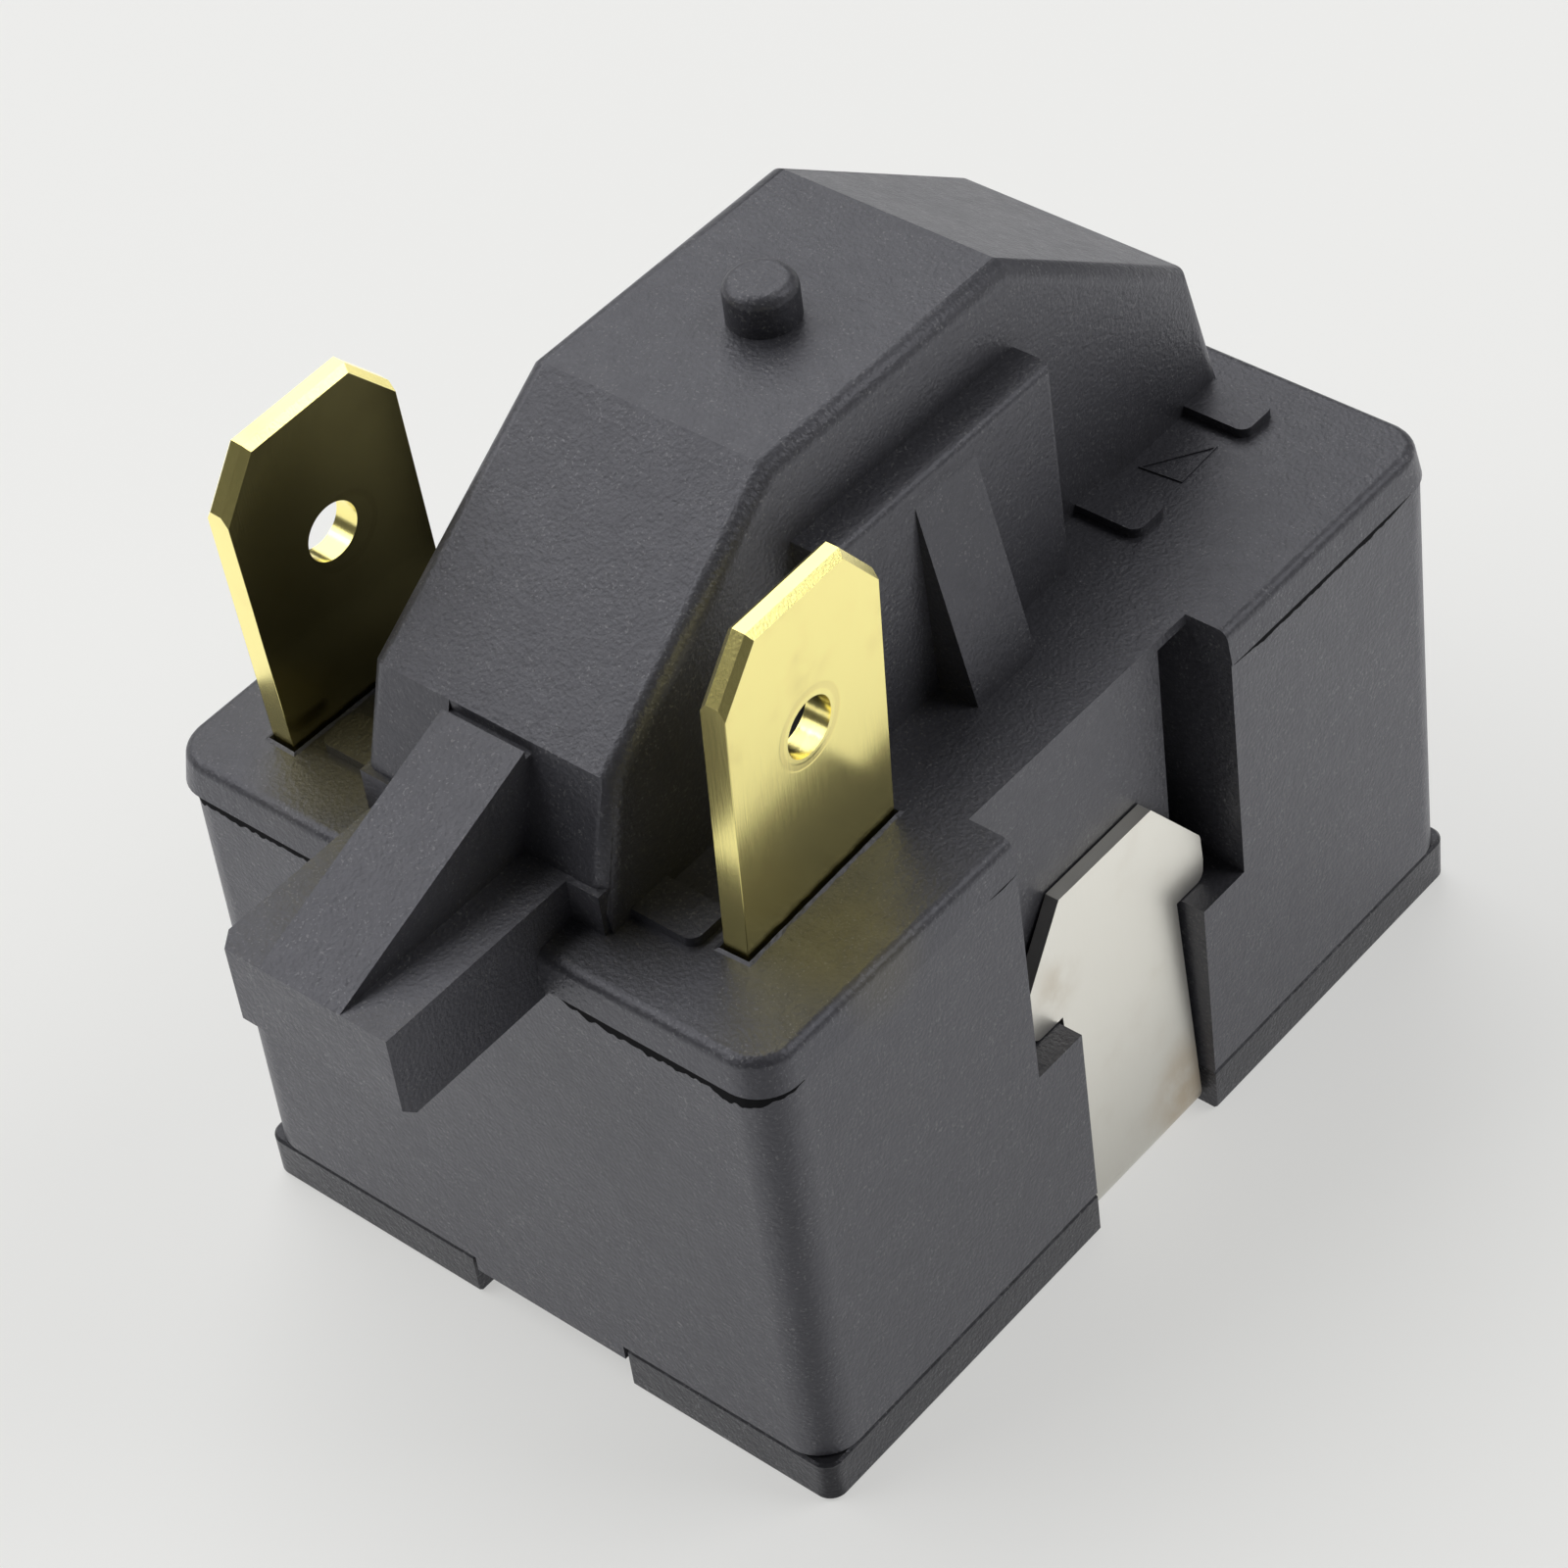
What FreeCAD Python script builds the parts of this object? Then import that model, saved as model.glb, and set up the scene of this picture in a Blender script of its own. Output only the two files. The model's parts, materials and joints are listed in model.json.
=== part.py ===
import FreeCAD, Part
import math
import os

# Compressor start relay of the PTC kind: a black moulded housing with a hump for the disc,
# two 6.3 mm tabs on top, two pin sockets opening through the base cover, and a sheet metal
# strap that wraps under the base and up both side walls.
# Millimetres, +Z up. Origin at the centre of the base face. The tabs and the ledge stand
# towards -Y, the strap legs are on the -X and +X walls.

V = FreeCAD.Vector

# Body
body_w = 21.8            # along X
body_l = 29.8            # along Y
cover_t = 1.57           # base cover
top_z = 17.46            # top face
band_h = 1.16            # from the parting line to the top face
corner_r = 1.3
wall_lean = 0.1          # walls come in by this much at the parting line
fold_in = 0.15           # top band comes in by this much at the top face
fold_r = 0.35            # rounding of the top band's upper edge
band_shift = 0.06        # mould halves are off by this much towards -X and -Y
wall = 1.3               # moulded wall thickness
fit_gap = 0.15           # clearance between parts that slide together
edge_break = 0.08        # small bevel on edges that meet in a seam
foot_bevel = 0.12        # bevel round the bottom of the cover
cover_corner_r = 0.55    # sharper than the housing's corners
rim_h = 1.0              # cover's rim inside the housing
rim_t = 0.65
parting_z = top_z - band_h
ceiling_z = top_z - wall
wall_x = body_w / 2
wall_y = body_l / 2

# Planes and cross line that the working parts are centred on
mid_x = -0.38            # terminals and pads
hump_x = -0.18           # hump, side blocks and disc
mid_y = 0.1

# Hump: heights above the top face
plinth_h = 1.42          # raised slab in front of the hump
hump_half_w = 4.42       # at the top face
hump_draft = 0.025       # each side comes in by this per millimetre of height
hump_edge_r = 0.55
hump_front = 1.75        # front's foot on the slab, in from the -Y wall
hump_front_lean = 0.95
hump_front_h = 4.6
hump_rear = 1.3          # foot of the rear, in from the +Y wall
hump_rear_lean = 1.05
hump_rear_h = 4.55
hump_h = 9.8             # flat roof
roof_front = 4.95        # roof's front edge from the cross line
roof_rear = 4.9
nub_r = 1.05
nub_h = 1.25
nub_edge_r = 0.35
nub_dx, nub_dy = 0.0, -0.27
plinth_top_z = top_z + plinth_h
hump_roof_z = top_z + hump_h
hump_y0 = hump_front - wall_y
hump_y1 = wall_y - hump_rear
hump_fold_y = hump_y0 + hump_front_lean
hump_outline = [
    (hump_y0, plinth_top_z),
    (hump_fold_y, top_z + hump_front_h),
    (mid_y - roof_front, hump_roof_z),
    (mid_y + roof_rear, hump_roof_z),
    (hump_y1 - hump_rear_lean, top_z + hump_rear_h),
    (hump_y1, top_z),
]

# Blocks on both sides of the hump, each with a sloping rib
block_out = 5.7          # from the hump's middle plane
block_half_l = 4.7
block_h = 7.14
block_lean = 0.15
block_edge_r = 0.3
rib_out = 7.05
rib_half_w = 1.28
rib_drop = 0.25          # rib stops this far below the block's top

# Raised slab, ledge and ramp on the -Y side
plinth_step = 0.2        # in front of the hump's foot
plinth_in = 0.14         # narrower than the hump on each side
ledge_x = -0.11          # centre line
ledge_w = 6.18
ledge_reach = 5.3        # beyond the -Y wall
ledge_h = 3.07
ledge_bevel = 0.45
ledge_corner = 0.4
ramp_w = 2.92
ramp_drop = 0.1          # ramp's top edge below the hump's fold
crease_w = 0.3           # crease between ramp and hump
crease_h = 0.25
plinth_y0 = hump_y0 - plinth_step
plinth_half_w = hump_half_w - plinth_in
ledge_x0, ledge_x1 = ledge_x - ledge_w / 2, ledge_x + ledge_w / 2
ledge_y0 = -wall_y - ledge_reach
ramp_x0, ramp_x1 = ledge_x - ramp_w / 2, ledge_x + ramp_w / 2
ramp_top_z = top_z + hump_front_h - ramp_drop
ramp_top_y = hump_fold_y - crease_w

# Small raised pads beside the hump
pad_h = 0.32
pad_r = 0.35
pad_clear = 0.57         # to the inner faces of the tabs
pad_half_w = 0.72
pad_rows = [12.3, 7.2, -11.8]        # from the cross line

# Recess in each side wall for a strap leg
recess_d = 1.6
recess_half_w = 4.78
shoulder_z = 8.3         # the recess is narrow below this
groove_w = 1.3           # at the +Y end of the recess
groove_d = 1.3           # deeper than the recess
groove_skin = 0.35       # left above the groove
recess_x = wall_x - recess_d
groove_x = recess_x - groove_d

# Key that drops into the cover's front notch
key_x = 0.5
key_w = 6.0
key_l = 0.95
key_drop = 0.47          # below the top of the cover

# Depth that raised shapes sink into what carries them, less than the wall
sink = 0.4 * wall

# Hollow inside
hollow_half_w = wall_x - wall
hollow_half_l = wall_y - wall
waist_wall = 1.2         # behind the grooves
waist_half_w = groove_x - waist_wall
waist_y0 = mid_y - recess_half_w - 0.7
waist_y1 = mid_y + recess_half_w + waist_wall

# PTC disc, under the hump's roof
disc_r = 9.0
disc_t = 2.5
disc_gap = 0.3           # to the cradle and to the roof
disc_z = hump_roof_z - wall - disc_gap - disc_r
disc_y = (hump_y0 + hump_y1) / 2
cradle_half_l = 4.5
cradle_side = 0.4        # wider than the disc on each side

# Pin sockets for 3.2 mm pins
pin_r = 1.6
socket_t = 0.5           # sleeve wall
socket_in = 4.9          # axes in from half the body's width
socket_shift = 0.19      # towards the disc from the middle of the space in front of the waist
socket_lift = 0.43       # above the cover
socket_d = 7.2           # depth of the bore
socket_roof = 0.8
cover_hole_gap = 0.45    # cover's hole round the pin
socket_r = pin_r + socket_t
socket_out = wall_x - socket_in
socket_y = (waist_y0 - hollow_half_l) / 2 + socket_shift
socket_z0 = cover_t + socket_lift
socket_roof_z = socket_z0 + socket_d
flange_z = socket_roof_z + socket_roof

# Terminal blades
tab_w = 6.3
tab_t = 0.8
tab_h = 10.35
tab_side = 3.55          # inner faces in from half the body's width
tab_front_left = 2.02    # -Y edges in from the -Y wall
tab_front_right = 3.01
tab_tip_w = 1.25         # corner cut, across the width
tab_tip_h = 1.6          # corner cut, down the height
tab_bevel = 0.2
tab_hole_r = 0.9
tab_hole_h = 5.8
slot_gap = 0.12
tab_in = wall_x - tab_side
pad_out = tab_in - pad_clear
shank_w = 4.4
flange_over = 1.9        # flange reaches this far past the socket's axis

# Rivets
rivet_r = 0.7
rivet_head_r = 1.05
rivet_head_h = 0.45

# Contact springs
leaf_t = 0.35
leaf_w = 6.0
leaf_gap = 0.14          # to the inside of the hump
leaf_pad = 1.7           # flat part on the disc, each way from its centre
leaf_end = 7.5
spring_foot_w = 3.0
spring_foot_gap = 0.3    # to the blade's shank
leaf_z0 = disc_z - leaf_w / 2
leaf_z1 = disc_z + leaf_w / 2
leaf_start = hump_half_w - wall - hump_draft * (leaf_z1 - top_z) - leaf_gap - leaf_t / 2
leaf_y0 = socket_y - 1.3
leaf_y1 = leaf_y0 + spring_foot_w

# Retaining strap
strap_t = 0.45
strap_half_w = 2.65
strap_gap = 0.2          # to the sides of the recess and of the channel
strap_bend_r = 0.8
strap_sunk = 0.4         # legs start this far inside the wall
strap_tip_gap = 0.05     # tip to the recess floor
barb_lift = 0.05         # barbs above the shoulders
barb_half_w = 4.0
barb_flat_half_w = 2.1
barb_low_h = 0.65
barb_side_h = 0.9
barb_cut_h = 2.5
barb_r = 0.35
strap_x_low = wall_x - strap_sunk
strap_x_high = recess_x + strap_tip_gap + strap_t
neck_half_w = strap_half_w + strap_gap
barb_z0 = shoulder_z + barb_lift
barb_z1 = barb_z0 + barb_low_h
barb_z2 = barb_z1 + barb_side_h
strap_tip_z = barb_z2 + barb_cut_h


def box(x0, x1, y0, y1, z0, z1):
    """Block between two opposite corners."""
    return Part.makeBox(x1 - x0, y1 - y0, z1 - z0, V(x0, y0, z0))


def prism_x(points, x0, x1):
    """Closed (y, z) outline carried from x0 to x1."""
    loop = [V(x0, y, z) for y, z in points]
    return Part.Face(Part.makePolygon(loop + loop[:1])).extrude(V(x1 - x0, 0, 0))


def prism_y(points, y0, y1):
    """Closed (x, z) outline carried from y0 to y1."""
    loop = [V(x, y0, z) for x, z in points]
    return Part.Face(Part.makePolygon(loop + loop[:1])).extrude(V(0, y1 - y0, 0))


def prism_z(points, z0, z1):
    """Closed (x, y) outline carried from z0 to z1."""
    loop = [V(x, y, z0) for x, y in points]
    return Part.Face(Part.makePolygon(loop + loop[:1])).extrude(V(0, 0, z1 - z0))


def joined(shapes):
    """All the shapes as one solid."""
    result = shapes[0]
    for shape in shapes[1:]:
        result = result.fuse(shape)
    return result.removeSplitter()


def across(shape, middle):
    """The same shape on the other side of an upright plane at x = middle."""
    return shape.mirror(V(middle, 0, 0), V(1, 0, 0))


def edges_where(shape, test):
    """Straight and round edges whose end points all pass the test."""
    return [e for e in shape.Edges if all(test(v.Point) for v in e.Vertexes)]


def upright_edges(shape):
    """Edges that run mostly upwards."""
    found = []
    for edge in shape.Edges:
        if len(edge.Vertexes) == 2:
            run = edge.Vertexes[1].Point - edge.Vertexes[0].Point
            if abs(run.z) > 0.9 * run.Length:
                found.append(edge)
    return found


def inset_outline(points, distance):
    """Convex outline moved inwards by the distance; points run one way round."""
    count = len(points)
    area = 0.0
    for i in range(count):
        ax, ay = points[i]
        bx, by = points[(i + 1) % count]
        area += ax * by - bx * ay
    turn = 1.0 if area > 0 else -1.0
    lines = []
    for i in range(count):
        ax, ay = points[i]
        bx, by = points[(i + 1) % count]
        length = math.hypot(bx - ax, by - ay)
        dx, dy = (bx - ax) / length, (by - ay) / length
        lines.append((ax - turn * dy * distance, ay + turn * dx * distance, dx, dy))
    result = []
    for i in range(count):
        ax, ay, adx, ady = lines[i - 1]
        bx, by, bdx, bdy = lines[i]
        cross = adx * bdy - ady * bdx
        s = ((bx - ax) * bdy - (by - ay) * bdx) / cross
        result.append((ax + adx * s, ay + ady * s))
    return result


def leaning_block(half_w, half_l, z0, z1, lean, radius):
    """Block with upright corners rounded and all four walls leaning in."""
    side = prism_y([(-half_w, z0), (half_w, z0), (half_w - lean, z1), (lean - half_w, z1)], -half_l, half_l)
    front = prism_x([(-half_l, z0), (half_l, z0), (half_l - lean, z1), (lean - half_l, z1)], -half_w, half_w)
    block = side.common(front)
    return block.makeFillet(radius, upright_edges(block))


def strip(points, thickness, z0, z1):
    """Upright sheet of one thickness that follows a bent line seen from above."""
    left, right = [], []
    for i, (x, y) in enumerate(points):
        before = points[max(i - 1, 0)]
        after = points[min(i + 1, len(points) - 1)]
        d1 = V(x - before[0], y - before[1], 0)
        d2 = V(after[0] - x, after[1] - y, 0)
        d1 = d1 if d1.Length > 0 else d2
        d2 = d2 if d2.Length > 0 else d1
        d1, d2 = d1.normalize(), d2.normalize()
        n = V(-d1.y - d2.y, d1.x + d2.x, 0).normalize()
        reach = thickness / 2 / (n.x * -d1.y + n.y * d1.x)
        left.append((x + n.x * reach, y + n.y * reach))
        right.append((x - n.x * reach, y - n.y * reach))
    return prism_z(left + right[::-1], z0, z1)


def hump_solid(inset):
    """The hump, or the space inside it when it is inset by the wall."""
    foot_z = top_z - 3 * wall if inset else top_z - sink
    outline = [(hump_y0, foot_z)] + hump_outline[:] + [(hump_y1, foot_z)]
    if inset:
        outline = inset_outline(outline, inset)
    top = hump_roof_z + 1
    low_half = hump_half_w - inset + hump_draft * (top_z - foot_z + 1)
    high_half = low_half - hump_draft * (top - foot_z + 1)
    sides = [(hump_x - low_half, foot_z - 1), (hump_x + low_half, foot_z - 1),
             (hump_x + high_half, top), (hump_x - high_half, top)]
    solid = prism_x(outline, hump_x - low_half, hump_x + low_half).common(prism_y(sides, -wall_y, wall_y))
    if not inset:
        ridge = [e for e in solid.Edges
                 if all(v.Point.z > foot_z + 0.1 for v in e.Vertexes)
                 and abs(e.Vertexes[0].Point.x - e.Vertexes[1].Point.x) < 1.0]
        solid = solid.makeFillet(hump_edge_r, ridge)
    return solid


def side_block():
    """Block on the +X side of the hump with its sloping rib."""
    x_foot = hump_x + block_out
    x_top = x_foot - block_lean
    low = top_z - sink
    high = top_z + block_h
    profile = [(hump_x, low), (x_foot, low), (x_top, high), (hump_x, high)]
    block = prism_y(profile, mid_y - block_half_l, mid_y + block_half_l)
    outer = [e for e in block.Edges if all(v.Point.x > hump_x + 1 and v.Point.z > top_z for v in e.Vertexes)]
    outer += [e for e in upright_edges(block) if e.CenterOfMass.x > hump_x + 1]
    block = block.makeFillet(block_edge_r, outer)
    rib_high = high - rib_drop
    x_rib = hump_x + rib_out
    rib_profile = [(hump_x, low), (x_rib, low), (x_rib, top_z), (x_top - 0.1, rib_high), (hump_x, rib_high)]
    rib = prism_y(rib_profile, mid_y - rib_half_w, mid_y + rib_half_w)
    return block.fuse(rib)


def pads():
    """Three raised pads on the +X side of the hump."""
    made = []
    for row in pad_rows:
        y = mid_y + row
        x0, x1 = hump_x + hump_half_w - wall, mid_x + pad_out
        pad = box(x0, x1, y - pad_half_w, y + pad_half_w, top_z - sink, top_z + pad_h)
        outer = [e for e in upright_edges(pad) if e.CenterOfMass.x > x1 - 0.1]
        made.append(pad.makeFillet(pad_r, outer))
    return made


def ledge():
    """Slab in front of the hump, the ledge it runs out to, and the ramp on it."""
    plinth = box(hump_x - plinth_half_w, hump_x + plinth_half_w, plinth_y0, mid_y, top_z - sink, plinth_top_z)
    c = ledge_corner
    back = hump_y0 + wall / 2
    plan = [(ledge_x0, back), (ledge_x0, ledge_y0 + 1.4 * c), (ledge_x0 + c, ledge_y0),
            (ledge_x1, ledge_y0), (ledge_x1, back)]
    slab = prism_z(plan, plinth_top_z - ledge_h, plinth_top_z)
    b = ledge_bevel
    under_z = plinth_top_z - ledge_h
    slab = slab.cut(prism_x([(ledge_y0 - 1, under_z + b + 1), (ledge_y0 + b + 1, under_z - 1),
                             (ledge_y0 - 1, under_z - 1)], ledge_x0 - 1, ledge_x1 + 1))
    slab = slab.cut(box(ledge_x0 - 1, ledge_x1 + 1, wall / 2 - wall_y, 0, under_z - 1, top_z - sink))
    ramp_low = plinth_top_z - sink / 2
    ramp_back = ramp_top_y + wall / 2
    ramp = prism_x([(ledge_y0, ramp_low), (ledge_y0, plinth_top_z), (ramp_top_y, ramp_top_z),
                    (ramp_back, ramp_top_z), (ramp_back, ramp_low)], ramp_x0, ramp_x1)
    return [plinth, slab, ramp]


def recess():
    """Space for one strap leg in the +X wall, with the deeper groove at its far end."""
    out = wall_x + 1
    y0, y1 = mid_y - recess_half_w, mid_y + recess_half_w
    neck = box(recess_x, out, mid_y - neck_half_w, mid_y + neck_half_w, -1, top_z + 1)
    wide = box(recess_x, out, y0, y1, shoulder_z, top_z + 1)
    far = box(groove_x, out, y1 - groove_w, y1, shoulder_z, top_z - groove_skin)
    return neck.fuse(wide).fuse(far)


def both_walls(shape):
    """A cut for the +X wall together with the same on the -X wall."""
    return shape.fuse(shape.mirror(V(0, 0, 0), V(1, 0, 0)))


def hollow(z0, z1, inset):
    """Inside of the housing below its ceiling, narrowed between the recesses."""
    half_w, half_l = hollow_half_w - inset, hollow_half_l - inset
    front = box(-half_w, half_w, -half_l, waist_y0 - inset, z0, z1)
    rear = box(-half_w, half_w, waist_y1 + inset, half_l, z0, z1)
    waist = box(inset - waist_half_w, waist_half_w - inset, -half_l, half_l, z0, z1)
    return joined([front, rear, waist])


class Side:
    """Where one terminal stands and how its tab sits."""

    def __init__(self, sign, tab_x, tab_y, turn, tilt, lean):
        self.sign = sign          # -1 for the left terminal, +1 for the right one
        self.tab_x = tab_x        # +X face of the tab at the top face
        self.tab_y = tab_y        # -Y edge of the tab at the top face
        self.turn = turn          # degrees about the upright line
        self.tilt = tilt          # degrees, top edge towards -Y
        self.lean = lean          # degrees, top edge towards +X
        self.axis_x = mid_x + sign * socket_out

    def foot(self):
        return V(self.tab_x, self.tab_y, top_z)

    def set_on_slot(self, shape):
        """Turn a shape built square to the slot about the slot's -Y end."""
        shape.rotate(self.foot(), V(0, 0, 1), self.turn)
        return shape


left = Side(-1, mid_x - tab_in, tab_front_left - wall_y, -1.7, 3.15, 1.0)
right = Side(1, mid_x + tab_in + tab_t, tab_front_right - wall_y, 2.3, -1.15, 2.2)


def blade_slot(side):
    """Opening in the housing's top for one blade."""
    g = slot_gap
    cut = box(side.tab_x - tab_t - g, side.tab_x + g, side.tab_y - g, side.tab_y + tab_w + g,
              ceiling_z - sink, top_z + 1)
    return side.set_on_slot(cut)


def tab_plate(side):
    """The 6.3 mm tab above the top face, with its tip cuts, bevels and hole."""
    x1, y0 = side.tab_x, side.tab_y
    x0 = x1 - tab_t
    low, high = top_z - 0.7 * wall, top_z + tab_h
    outline = [(y0, low), (y0, high - tab_tip_h), (y0 + tab_tip_w, high),
               (y0 + tab_w - tab_tip_w, high), (y0 + tab_w, high - tab_tip_h), (y0 + tab_w, low)]
    plate = prism_x(outline, x0, x1)
    tip = [e for e in plate.Edges
           if all(v.Point.z > top_z for v in e.Vertexes)
           and abs(e.Vertexes[0].Point.x - e.Vertexes[1].Point.x) < 0.01]
    plate = plate.makeChamfer(tab_bevel, tip)
    hole_at = V(x0 - tab_t, y0 + tab_w / 2, top_z + tab_hole_h)
    hole = Part.makeCylinder(tab_hole_r, 3 * tab_t, hole_at, V(1, 0, 0))
    plate = plate.cut(hole)
    plate.rotate(side.foot(), V(1, 0, 0), side.tilt)
    plate.rotate(side.foot(), V(0, 1, 0), side.lean)
    return side.set_on_slot(plate)


def blade(side):
    """Brass blade: tab, shank through the ceiling, and the flange over the socket."""
    x0, x1 = side.tab_x - tab_t, side.tab_x
    neck = box(x0, x1, side.tab_y, side.tab_y + tab_w, ceiling_z - sink / 2, top_z - 0.3 * wall)
    neck = side.set_on_slot(neck)
    shank_y0 = socket_y - shank_w / 2
    shank = box(x0, x1, shank_y0, shank_y0 + shank_w, flange_z, ceiling_z - sink / 4)
    inner = side.axis_x - side.sign * flange_over
    flange = box(min(inner, x0), max(inner, x1), shank_y0, shank_y0 + shank_w, flange_z, flange_z + tab_t)
    made = joined([tab_plate(side), neck, shank, flange])
    return made.cut(Part.makeCylinder(rivet_r, 3 * tab_t, V(side.axis_x, socket_y, flange_z - tab_t)))


def pin_socket(side):
    """Brass sleeve for one compressor pin, closed at the top round the rivet."""
    foot = V(side.axis_x, socket_y, socket_z0)
    body = Part.makeCylinder(socket_r, flange_z - socket_z0, foot)
    body = body.cut(Part.makeCylinder(pin_r, socket_d, foot))
    body = body.cut(Part.makeCylinder(rivet_head_r, socket_d + rivet_head_h, foot))
    return body.cut(Part.makeCylinder(rivet_r, flange_z, foot))


def rivet(side):
    """Rivet through sleeve roof, flange and spring foot, its lower head sunk in the roof."""
    low = socket_roof_z
    high = flange_z + tab_t + leaf_t
    at = V(side.axis_x, socket_y, low)
    shank = Part.makeCylinder(rivet_r, high - low + rivet_head_h, at)
    lower = Part.makeCylinder(rivet_head_r, rivet_head_h, at)
    upper = Part.makeCylinder(rivet_head_r, rivet_head_h, V(side.axis_x, socket_y, high))
    return joined([shank, lower, upper])


def contact_spring(side):
    """Bowed leaf that presses the disc, with its riser and riveted foot."""
    s = side.sign
    start = hump_x + s * leaf_start
    touch = hump_x + s * (disc_t / 2 + leaf_t / 2)
    line = [(start, leaf_y0), (start, leaf_y1), (touch, disc_y - leaf_pad),
            (touch, disc_y + leaf_pad), (start, disc_y + leaf_end)]
    leaf = strip(line, leaf_t, leaf_z0, leaf_z1)
    foot_z = flange_z + tab_t
    half = leaf_t / 2
    riser = box(start - half, start + half, leaf_y0, leaf_y1, foot_z, disc_z)
    shank_face = side.tab_x if s < 0 else side.tab_x - tab_t
    outer = shank_face - s * spring_foot_gap
    inner = start - s * half
    foot = box(min(outer, inner), max(outer, inner), leaf_y0, leaf_y1, foot_z, foot_z + leaf_t)
    made = joined([leaf, riser, foot])
    return made.cut(Part.makeCylinder(rivet_r, 3 * leaf_t, V(side.axis_x, socket_y, foot_z - leaf_t)))


def make_housing():
    """Moulded housing, open below."""
    walls = leaning_block(wall_x, wall_y, cover_t, parting_z, wall_lean, corner_r)
    walls = walls.makeChamfer(edge_break, edges_where(walls, lambda p: abs(p.z - cover_t) < 1e-6))
    band = leaning_block(wall_x, wall_y, parting_z, top_z, fold_in, corner_r)
    band = band.makeFillet(fold_r, edges_where(band, lambda p: abs(p.z - top_z) < 1e-6))
    band.translate(V(-band_shift, -band_shift, 0))
    shell = walls.fuse(band)
    block = side_block()
    nub_at = V(hump_x + nub_dx, mid_y + nub_dy, hump_roof_z - wall / 2)
    nub = Part.makeCylinder(nub_r, nub_h + wall / 2, nub_at)
    nub = nub.makeFillet(nub_edge_r, edges_where(nub, lambda p: p.z > hump_roof_z + nub_h / 2))
    parts = [hump_solid(0), nub, block, across(block, hump_x)] + ledge()
    for pad in pads():
        parts += [pad, across(pad, mid_x)]
    for part in parts:
        shell = shell.fuse(part)
    crease = box(ramp_x0, ramp_x1, ramp_top_y, ramp_top_y + crease_w,
                 ramp_top_z - crease_h, ramp_top_z + crease_h)
    shell = shell.cut(crease)
    room_half_l = block_half_l - wall
    room_half_w = block_out - block_lean - wall
    room = box(hump_x - room_half_w, hump_x + room_half_w, mid_y - room_half_l, mid_y + room_half_l,
               ceiling_z - wall, top_z + block_h - wall)
    inside = hollow(cover_t - wall, ceiling_z, 0).fuse(hump_solid(wall)).fuse(room)
    shell = shell.cut(inside)
    key_half = key_w / 2 - fit_gap
    key = box(key_x - key_half, key_x + key_half, -wall_y, key_l - wall_y,
              cover_t - key_drop, cover_t + 2 * edge_break)
    shell = shell.fuse(key).cut(both_walls(recess()))
    for side in (left, right):
        shell = shell.cut(blade_slot(side))
    return shell.removeSplitter()


def make_cover():
    """Base cover with its locating rim, disc cradle, pin holes and strap channel."""
    plate = leaning_block(wall_x, wall_y, 0, cover_t, 0.0, cover_corner_r)
    plate = plate.makeChamfer(edge_break, edges_where(plate, lambda p: abs(p.z - cover_t) < 1e-6))
    plate = plate.makeChamfer(foot_bevel, edges_where(plate, lambda p: abs(p.z) < 1e-6))
    root = cover_t / 2
    rim = hollow(root, cover_t + rim_h, fit_gap).cut(hollow(0, cover_t + 2 * rim_h, fit_gap + rim_t))
    cradle_half = disc_t / 2 + cradle_side
    cradle = box(hump_x - cradle_half, hump_x + cradle_half, disc_y - cradle_half_l, disc_y + cradle_half_l,
                 root, disc_z)
    bowl_at = V(hump_x - 2 * cradle_half, disc_y, disc_z)
    bowl = Part.makeCylinder(disc_r + disc_gap, 4 * cradle_half, bowl_at, V(1, 0, 0))
    cover = joined([plate, rim, cradle.cut(bowl)])
    channel = box(-body_w, body_w, mid_y - neck_half_w, mid_y + neck_half_w, -1, strap_t)
    notch = box(key_x - key_w / 2, key_x + key_w / 2, -body_l, key_l + fit_gap - wall_y, -1, cover_t + 1)
    cover = cover.cut(channel).cut(both_walls(recess())).cut(notch)
    for side in (left, right):
        foot = V(side.axis_x, socket_y, -cover_t)
        cover = cover.cut(Part.makeCylinder(pin_r + cover_hole_gap, 2 * cover_t + 2 * rim_h, foot))
    return cover.removeSplitter()


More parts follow.
